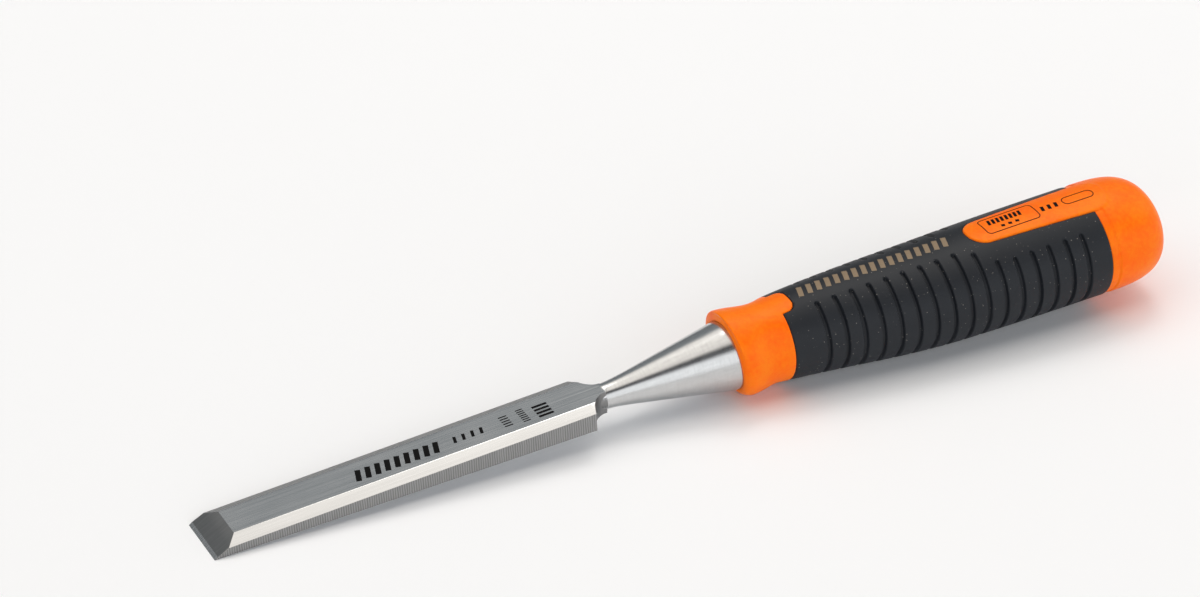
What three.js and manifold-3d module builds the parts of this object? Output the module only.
// Bench chisel with a 16 mm bevel-edged blade and a two-component handle.
// Millimetres, +Z up. The chisel lies flat back down, on its cutting edge and the underside of its
// handle, with the edge towards -X and the striking cap towards +X. The origin is at the middle of
// its length and width, on the surface that it lies on.
// Inside the outer group everything is drawn in the blade's own frame: the cutting edge is the line
// x = 0, z = 0, and the flat back of the blade is the plane z = 0.
import * as THREE from 'three';
import { mergeVertices } from 'three/addons/utils/BufferGeometryUtils.js';
import Module from 'manifold-3d';

const wasm = await Module();
wasm.setup();

// ---- Driving dimensions -------------------------------------------------------------------------

// Blade
const edgeWidth = 16;
const bladeLength = 102;
const bevelAngle = 27;
const honedLength = 0.9;
const honedHeight = 0.66;
const thicknessAtBevel = 3.6;
const thicknessAtShoulder = 6.3;
const landAtBevel = 2.25;
const landAtShoulder = 5.05;
const topWidthAtBevel = 9.6;
const topWidthAtShoulder = 10.1;
const shoulderSweep = 1.5;

// Neck, bolster and tang
const steelAxisHeight = 3.3;
const shoulderLength = 5.5;
const neckRadius = 3.3;
const neckHalfWidth = 2.6;
const neckLength = 2.5;
const flatRunout = 2;
const bolsterLength = 31.7;
const bolsterRadius = 9.1;
const bolsterSeat = 2.5;
const tangLength = 86;
const tangFrontSide = 8;
const tangBackSide = 5;

// Outline of the handle, along its length from the collar's face
const collarLength = 14.8;
const gripLength = 90.4;
const capLength = 20;
const rimWall = 2.5;
const rimRounding = 2.2;
const waistRadius = 10.7;
const waistSetback = 3.4;
const gripFrontRadius = 11;
const swellHalfHeight = 12.4;
const swellPlace = 19.5;
const bellyHalfHeight = 13.6;
const bellyPlace = 48.5;
const capHalfHeight = 14.1;
const gripWidening = 0.12;
const gripDrop = 1.7;
const domeExponent = 3.6;

// Grip sleeve and its finger grooves
const gripThickness = 2.6;
const groovePitch = 4.95;
const firstGroove = 9.3;
const lastGrooveMargin = 6.5;
const grooveWidth = 1.1;
const grooveDepth = 0.9;
const grooveLand = 9.2;
const panelMargin = 4;

// Label panel and lug
const panelReach = 34.7;
const panelWidth = 12.8;
const panelTipWidth = 9.8;
const panelTipFlat = 0.6;
const lugReach = 3.8;
const lugWidth = 8.7;
const lugTipFlat = 4.3;

// Fits and facets
const clearance = 0.3;
const handleSides = 36;
const steelSides = 32;
const curveSteps = 8;
const stationPitch = 9;

// ---- Places worked out from the driving dimensions ----------------------------------------------

const neckStart = bladeLength + shoulderLength;
const coneStart = neckStart + neckLength;
const flatEnd = neckStart + flatRunout;
const handleStart = coneStart + bolsterLength;
const gripStart = handleStart + collarLength;
const gripEnd = gripStart + gripLength;
const handleEnd = gripEnd + capLength;
const tangStart = handleStart + bolsterSeat;
const rimRadius = bolsterRadius + rimWall;
const panelStart = gripEnd - panelReach;
const panelRounding = (panelTipWidth - panelTipFlat) / 2;
const lugRounding = (lugWidth - lugTipFlat) / 2;
const grooveCount = 1 + Math.floor((gripLength - firstGroove - lastGrooveMargin) / groovePitch);
const bevelSlope = Math.tan(THREE.MathUtils.degToRad(bevelAngle));
const bevelTop = honedLength + (thicknessAtBevel - honedHeight) / bevelSlope;
const wellClear = 4 * edgeWidth;

// ---- Solids -------------------------------------------------------------------------------------

function solidOf(geometry) {
  geometry.deleteAttribute('normal');
  geometry.deleteAttribute('uv');
  const merged = mergeVertices(geometry, 1e-4);
  const vertProperties = new Float32Array(merged.attributes.position.array);
  const triVerts = new Uint32Array(merged.index.array);
  return new wasm.Manifold(new wasm.Mesh({ numProp: 3, vertProperties, triVerts }));
}

function meshOf(name, solid, color, roughness, metalness) {
  const { vertProperties, triVerts } = solid.getMesh();
  const geometry = new THREE.BufferGeometry();
  geometry.setAttribute('position', new THREE.BufferAttribute(vertProperties, 3));
  geometry.setIndex(new THREE.BufferAttribute(triVerts, 1));
  geometry.computeVertexNormals();
  const material = new THREE.MeshStandardMaterial({ color, roughness, metalness, flatShading: true });
  const mesh = new THREE.Mesh(geometry, material);
  mesh.name = name;
  return mesh;
}

// An outline seen from above (x, y), made solid between two heights.
function planPrism(shape, bottom, top) {
  const geometry = new THREE.ExtrudeGeometry(shape, {
    depth: top - bottom,
    bevelEnabled: false,
    curveSegments: curveSteps,
  });
  return solidOf(geometry.translate(0, 0, bottom));
}

// An outline seen from the side (x, z), made solid across twice the half width.
function sidePrism(shape, halfWidth) {
  const geometry = new THREE.ExtrudeGeometry(shape, { depth: 2 * halfWidth, bevelEnabled: false });
  geometry.translate(0, 0, -halfWidth);
  return solidOf(geometry.rotateX(Math.PI / 2));
}

// A straight bar along x from one section (y, z) to another with as many corners.
function taperedBar(startSection, endSection, start, length) {
  const geometry = new THREE.ExtrudeGeometry(new THREE.Shape(startSection), {
    depth: length,
    bevelEnabled: false,
  });
  const position = geometry.attributes.position;
  for (let i = 0; i < position.count; i += 1) {
    const drawn = new THREE.Vector2(position.getX(i), position.getY(i));
    const corner = startSection.findIndex((point) => point.distanceTo(drawn) < 1e-4);
    const along = position.getZ(i);
    const place = along > length / 2 ? endSection[corner] : startSection[corner];
    position.setXYZ(i, start + along, place.x, place.y);
  }
  return solidOf(geometry);
}

// ---- Blade --------------------------------------------------------------------------------------

function bladeSection(x) {
  const share = (x - bevelTop) / (bladeLength - bevelTop);
  const half = edgeWidth / 2;
  const land = THREE.MathUtils.lerp(landAtBevel, landAtShoulder, share);
  const top = THREE.MathUtils.lerp(thicknessAtBevel, thicknessAtShoulder, share);
  const topHalf = THREE.MathUtils.lerp(topWidthAtBevel, topWidthAtShoulder, share) / 2;
  return [
    new THREE.Vector2(-half, 0),
    new THREE.Vector2(half, 0),
    new THREE.Vector2(half, land),
    new THREE.Vector2(topHalf, top),
    new THREE.Vector2(-topHalf, top),
    new THREE.Vector2(-half, land),
  ];
}

// Seen from above, each shoulder sweeps in from the full width to the neck, where the flats end in a
// rounded tip.
function bladeOutline() {
  const half = edgeWidth / 2;
  const sweep = bladeLength + shoulderSweep;
  const outline = new THREE.Shape();
  outline.moveTo(0, -half);
  outline.lineTo(bladeLength, -half);
  outline.quadraticCurveTo(sweep, -neckHalfWidth, neckStart, -neckHalfWidth);
  outline.quadraticCurveTo(flatEnd, -neckHalfWidth, flatEnd, 0);
  outline.quadraticCurveTo(flatEnd, neckHalfWidth, neckStart, neckHalfWidth);
  outline.quadraticCurveTo(sweep, neckHalfWidth, bladeLength, half);
  outline.lineTo(0, half);
  return outline;
}

// Seen from the side, what is ground away above the honed strip and the main bevel.
function bevelWaste() {
  const top = 2 * thicknessAtShoulder;
  const bevelEnd = honedLength + (top - honedHeight) / bevelSlope;
  return new THREE.Shape([
    new THREE.Vector2(-wellClear, 0),
    new THREE.Vector2(0, 0),
    new THREE.Vector2(honedLength, honedHeight),
    new THREE.Vector2(bevelEnd, top),
    new THREE.Vector2(-wellClear, top),
  ]);
}

// The neck starts inside the flats and swells into the cone, which ends in the short cylinder that
// seats in the collar.
function turnedSteel() {
  const coneShare = 0.2;
  const noseStart = (bladeLength + neckStart) / 2;
  const coneFoot = new THREE.Vector2(
    THREE.MathUtils.lerp(neckRadius, bolsterRadius, coneShare),
    coneStart + coneShare * bolsterLength,
  );
  const neck = new THREE.QuadraticBezierCurve(
    new THREE.Vector2(neckRadius, neckStart),
    new THREE.Vector2(neckRadius, coneStart),
    coneFoot,
  );
  const geometry = new THREE.LatheGeometry([
    new THREE.Vector2(0, noseStart),
    new THREE.Vector2(neckHalfWidth, noseStart),
    ...neck.getPoints(curveSteps),
    new THREE.Vector2(bolsterRadius, handleStart),
    new THREE.Vector2(bolsterRadius, tangStart),
    new THREE.Vector2(0, tangStart),
  ], steelSides);
  geometry.rotateZ(-Math.PI / 2);
  geometry.translate(0, 0, steelAxisHeight);
  return solidOf(geometry);
}

function squareSection(side) {
  const half = side / 2;
  return [
    new THREE.Vector2(-half, steelAxisHeight - half),
    new THREE.Vector2(half, steelAxisHeight - half),
    new THREE.Vector2(half, steelAxisHeight + half),
    new THREE.Vector2(-half, steelAxisHeight + half),
  ];
}

function tang(gap) {
  const start = tangStart - bolsterSeat / 2;
  const front = squareSection(tangFrontSide + 2 * gap);
  const back = squareSection(tangBackSide + 2 * gap);
  return taperedBar(front, back, start, tangStart + tangLength + gap - start);
}

function blade() {
  const blank = taperedBar(bladeSection(0), bladeSection(flatEnd), 0, flatEnd);
  const outline = planPrism(bladeOutline(), -edgeWidth, edgeWidth);
  const flat = blank.intersect(outline).subtract(sidePrism(bevelWaste(), edgeWidth));
  const underBack = new THREE.Shape([
    new THREE.Vector2(0, -edgeWidth),
    new THREE.Vector2(neckStart, -edgeWidth),
    new THREE.Vector2(neckStart, 0),
    new THREE.Vector2(0, 0),
  ]);
  const neckAndCone = turnedSteel().subtract(sidePrism(underBack, edgeWidth));
  return flat.add(neckAndCone).add(tang(0));
}

// ---- Handle -------------------------------------------------------------------------------------

const waist = handleStart + collarLength - waistSetback;
const halfHeights = new THREE.CubicInterpolant(
  [handleStart, handleStart + rimRounding, waist, gripStart, gripStart + swellPlace,
    gripStart + bellyPlace, gripEnd, handleEnd],
  [rimRadius, rimRadius, waistRadius, gripFrontRadius, swellHalfHeight,
    bellyHalfHeight, capHalfHeight, capHalfHeight],
  1,
);

// Half width, half height and middle height of the handle's oval section at x.
function handleSection(x) {
  const swell = THREE.MathUtils.smoothstep(x, gripStart, gripStart + bellyPlace);
  const intoRim = THREE.MathUtils.clamp(1 - (x - handleStart) / rimRounding, 0, 1);
  const rimLoss = rimRounding * (1 - Math.sqrt(1 - intoRim ** 2));
  const intoCap = THREE.MathUtils.clamp((x - gripEnd) / capLength, 0, 1);
  const dome = (1 - intoCap ** domeExponent) ** (1 / domeExponent);
  const halfHeight = (halfHeights.evaluate(x)[0] - rimLoss) * dome;
  return {
    halfWidth: halfHeight * (1 + gripWidening * swell),
    halfHeight,
    middle: steelAxisHeight - gripDrop * swell,
  };
}

// Places along the handle where its form is set out, closer together on the rim and on the dome.
function handleStations() {
  const rimSteps = 4;
  const domeSteps = 9;
  const bodyEnd = gripEnd - stationPitch / 2;
  const bodySteps = Math.ceil((bodyEnd - handleStart - rimRounding) / stationPitch);
  const rim = Array.from({ length: rimSteps }, (_, i) => (
    handleStart + rimRounding * (1 - Math.cos((i / rimSteps) * (Math.PI / 2)))
  ));
  const body = Array.from({ length: bodySteps + 1 }, (_, i) => (
    THREE.MathUtils.lerp(handleStart + rimRounding, bodyEnd, i / bodySteps)
  ));
  const dome = Array.from({ length: domeSteps }, (_, i) => (
    gripEnd + capLength * Math.sin((i / domeSteps) * (Math.PI / 2))
  ));
  return [...rim, ...body, ...dome];
}

// The handle's outer form between two places along it, drawn in by an inset all round.
function handleForm(start, end, inset = 0) {
  const closest = 0.2;
  const between = handleStations().filter((x) => x > start + closest && x < end - closest);
  const lastRing = Math.min(end, handleEnd - closest);
  const geometry = new THREE.LatheGeometry([
    new THREE.Vector2(0, start),
    ...[start, ...between, lastRing].map((x) => new THREE.Vector2(1, x)),
    new THREE.Vector2(0, end),
  ], handleSides);
  geometry.rotateZ(-Math.PI / 2);
  const position = geometry.attributes.position;
  for (let i = 0; i < position.count; i += 1) {
    const x = position.getX(i);
    const { halfWidth, halfHeight, middle } = handleSection(Math.min(x, lastRing));
    const y = position.getY(i) * (halfWidth - inset);
    const z = middle + position.getZ(i) * (halfHeight - inset);
    position.setXYZ(i, x, y, z);
  }
  return solidOf(geometry);
}

// A tongue seen from above, square at its root and rounded at its tip, grown by a gap all round.
function tongue(root, tip, rootWidth, tipWidth, rounding, gap) {
  const way = Math.sign(tip - root);
  const end = tip + way * gap;
  const rootHalf = rootWidth / 2 + gap;
  const half = tipWidth / 2 + gap;
  const corner = rounding + gap;
  const shape = new THREE.Shape();
  shape.moveTo(root, -rootHalf);
  shape.lineTo(end - way * corner, -half);
  shape.absarc(end - way * corner, -half + corner, corner, -Math.PI / 2, way > 0 ? 0 : -Math.PI, way < 0);
  shape.absarc(end - way * corner, half - corner, corner, way > 0 ? 0 : Math.PI, Math.PI / 2, way < 0);
  shape.lineTo(root, rootHalf);
  return planPrism(shape, steelAxisHeight, wellClear);
}

function panelTongue(gap) {
  return tongue(gripEnd + clearance, panelStart, panelWidth, panelTipWidth, panelRounding, gap);
}

function lugTongue(gap) {
  return tongue(gripStart - clearance, gripStart + lugReach, lugWidth, lugWidth, lugRounding, gap);
}

// The pocket in the collar and the barrel that takes the bolster's seat and the tang.
function steelPocket() {
  const seat = new THREE.CylinderGeometry(
    bolsterRadius + clearance,
    bolsterRadius + clearance,
    bolsterSeat + 2 * clearance,
    steelSides,
  );
  seat.rotateZ(-Math.PI / 2);
  seat.translate(handleStart + bolsterSeat / 2, 0, steelAxisHeight);
  return solidOf(seat).add(tang(clearance));
}

function handleCore() {
  const overlap = 1;
  const whole = handleForm(handleStart, handleEnd);
  const collar = handleForm(handleStart, gripStart);
  const barrel = handleForm(gripStart - overlap, gripEnd + overlap, gripThickness);
  const cap = handleForm(gripEnd, handleEnd);
  const raised = lugTongue(0).add(panelTongue(0)).intersect(whole);
  return collar.add(barrel).add(cap).add(raised).subtract(steelPocket());
}

// Each finger groove stops short of the smooth land along the top, which widens round the panel.
function grooveLandAt(x) {
  const reach = panelWidth / 2 + panelMargin;
  const ahead = Math.max(0, panelStart + panelWidth / 2 - x);
  return Math.max(grooveLand / 2, Math.sqrt(Math.max(0, reach ** 2 - ahead ** 2)));
}

function grooveWaste() {
  const kept = handleForm(gripStart, gripEnd, grooveDepth);
  const cuts = [];
  for (let i = 0; i < grooveCount; i += 1) {
    const x = gripStart + firstGroove + i * groovePitch;
    for (const side of [-1, 1]) {
      const box = new THREE.BoxGeometry(grooveWidth, wellClear, wellClear);
      box.translate(x, side * (wellClear / 2 + grooveLandAt(x)), steelAxisHeight);
      cuts.push(solidOf(box));
    }
  }
  return wasm.Manifold.union(cuts).subtract(kept);
}

function gripSleeve() {
  const outside = handleForm(gripStart + clearance, gripEnd - clearance);
  const inside = handleForm(gripStart, gripEnd, gripThickness - clearance);
  const windows = lugTongue(clearance).add(panelTongue(clearance));
  return outside.subtract(inside).subtract(windows).subtract(grooveWaste());
}

// ---- Assembly -----------------------------------------------------------------------------------

const chisel = new THREE.Group();
chisel.add(
  meshOf('blade', blade(), '#9aa0a2', 0.3, 1),
  meshOf('handle_core', handleCore(), '#ff6f10', 0.4, 0),
  meshOf('grip_sleeve', gripSleeve(), '#26282b', 0.8, 0),
);

// The least tilt about the cutting edge that brings the underside of the handle up to the surface.
function restingTilt() {
  let tilt = 0;
  for (const { geometry } of chisel.children) {
    const position = geometry.attributes.position;
    for (let i = 0; i < position.count; i += 1) {
      if (position.getX(i) > handleStart) {
        tilt = Math.max(tilt, Math.atan2(-position.getZ(i), position.getX(i)));
      }
    }
  }
  return tilt;
}

chisel.rotation.y = -restingTilt();
chisel.updateMatrixWorld(true);
const extent = new THREE.Box3().setFromObject(chisel, true);
const middleOfExtent = extent.getCenter(new THREE.Vector3());
chisel.position.set(-middleOfExtent.x, 0, -extent.min.z);

const group = new THREE.Group();
group.add(chisel);

export default group;
